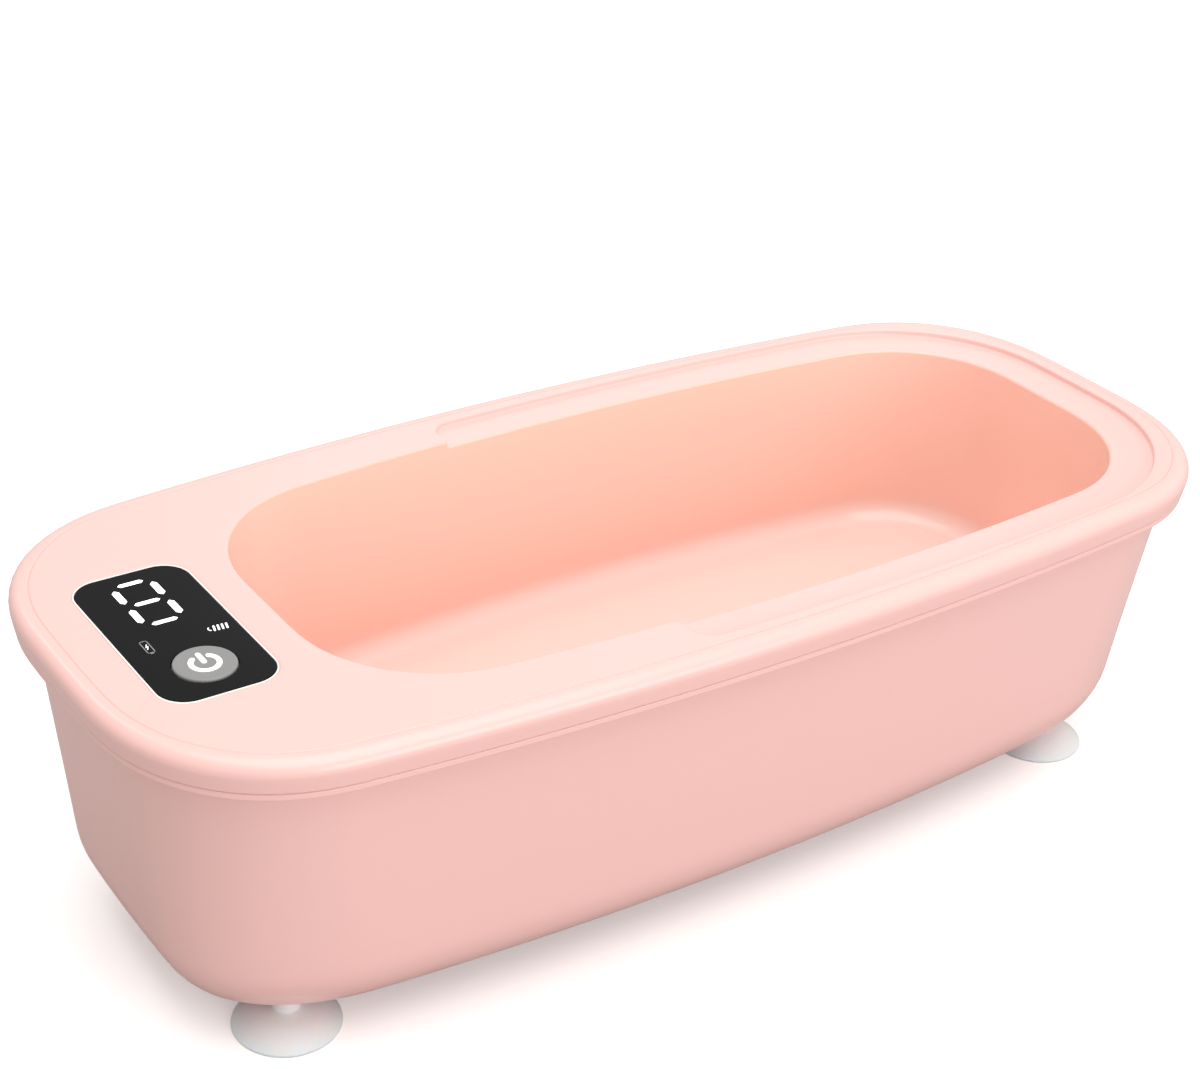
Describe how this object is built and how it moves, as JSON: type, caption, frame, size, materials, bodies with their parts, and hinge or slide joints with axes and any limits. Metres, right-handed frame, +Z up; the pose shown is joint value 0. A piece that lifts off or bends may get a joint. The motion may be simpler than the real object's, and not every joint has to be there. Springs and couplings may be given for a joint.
{
  "type": "ultrasonic cleaner",
  "caption": "Small oblong ultrasonic cleaner: open moulded tank and deck on a tapered housing, control panel with digit display and round power key, suction feet.",
  "frame": {"origin": "on the surface it stands on, under the middle of the rim's outline", "axes": "+X along the length towards the tank end, with the control panel at -X; +Y towards the side with the charging socket; +Z up"},
  "size_m": [0.2124, 0.0958, 0.0627],
  "materials": {
    "shell_plastic": "satin moulded ABS, pale pink",
    "lens_plastic": "gloss smoked acrylic",
    "key_plastic": "fine satin grey",
    "dark_plastic": "matte black",
    "white_plastic": "plain white",
    "milky_silicone": "translucent milky silicone",
    "screw_steel": "zinc-plated",
    "circuit_board": "green solder mask",
    "piezo_ceramic": "silvered ceramic",
    "ferrite": "matte grey-black",
    "copper_winding": "enamelled copper",
    "battery_foil": "laminated foil",
    "foam": "closed-cell foam",
    "film_red": "dipped film capacitor",
    "lead_red": "soft insulation",
    "lead_blue": "soft insulation",
    "lead_black": "soft insulation"
  },
  "bodies": {
    "cleaner_body": {"battery_cell": "battery_foil", "battery_lead_negative": "lead_black", "battery_lead_positive": "lead_red", "battery_pad": "foam", "battery_socket": "white_plastic", "charging_socket": "screw_steel", "choke": "ferrite", "control_board": "circuit_board", "control_board_screw_1": "screw_steel", "control_board_screw_2": "screw_steel", "control_cable_socket": "white_plastic", "control_chip": "dark_plastic", "display_lens": "lens_plastic", "display_module": "white_plastic", "driver_board": "circuit_board", "driver_board_screw_1": "screw_steel", "driver_board_screw_2": "screw_steel", "driver_board_screw_3": "screw_steel", "driver_board_screw_4": "screw_steel", "film_capacitor": "film_red", "housing_screw_panel_front": "screw_steel", "housing_screw_panel_rear": "screw_steel", "housing_screw_tank_front": "screw_steel", "housing_screw_tank_rear": "screw_steel", "icon_led_1": "white_plastic", "icon_led_2": "white_plastic", "icon_light_guide": "white_plastic", "lower_housing": "shell_plastic", "panel_cable": "lead_black", "panel_cable_socket": "white_plastic", "piezo_disc": "piezo_ceramic", "power_transistor": "dark_plastic", "rim_seal": "milky_silicone", "storage_capacitor": "dark_plastic", "suction_foot_panel_front": "milky_silicone", "suction_foot_panel_rear": "milky_silicone", "suction_foot_tank_front": "milky_silicone", "suction_foot_tank_rear": "milky_silicone", "switch_body": "dark_plastic", "top_cover": "shell_plastic", "transducer_lead_centre": "lead_red", "transducer_lead_edge": "lead_blue", "transducer_plate": "screw_steel", "transducer_socket": "white_plastic", "transformer_core": "ferrite", "transformer_winding": "copper_winding"},
    "power_key": {"power_button": "key_plastic", "switch_plunger": "dark_plastic"},
    "port_cover": {"charging_port_cover": "milky_silicone"}
  },
  "joints": [
    {"name": "power_key_press", "type": "slide", "parent": "cleaner_body", "child": "power_key", "axis": [0, 0, -1], "range_m": [0, 0.0005], "stiffness_N_per_m": 600, "springref_m": -0.0015},
    {"name": "port_cover_swing", "type": "hinge", "parent": "cleaner_body", "child": "port_cover", "pos_m": [0.04225, 0.03766, 0.0174], "axis": [0, 0, 1], "range_deg": [0, 95]}
  ]
}
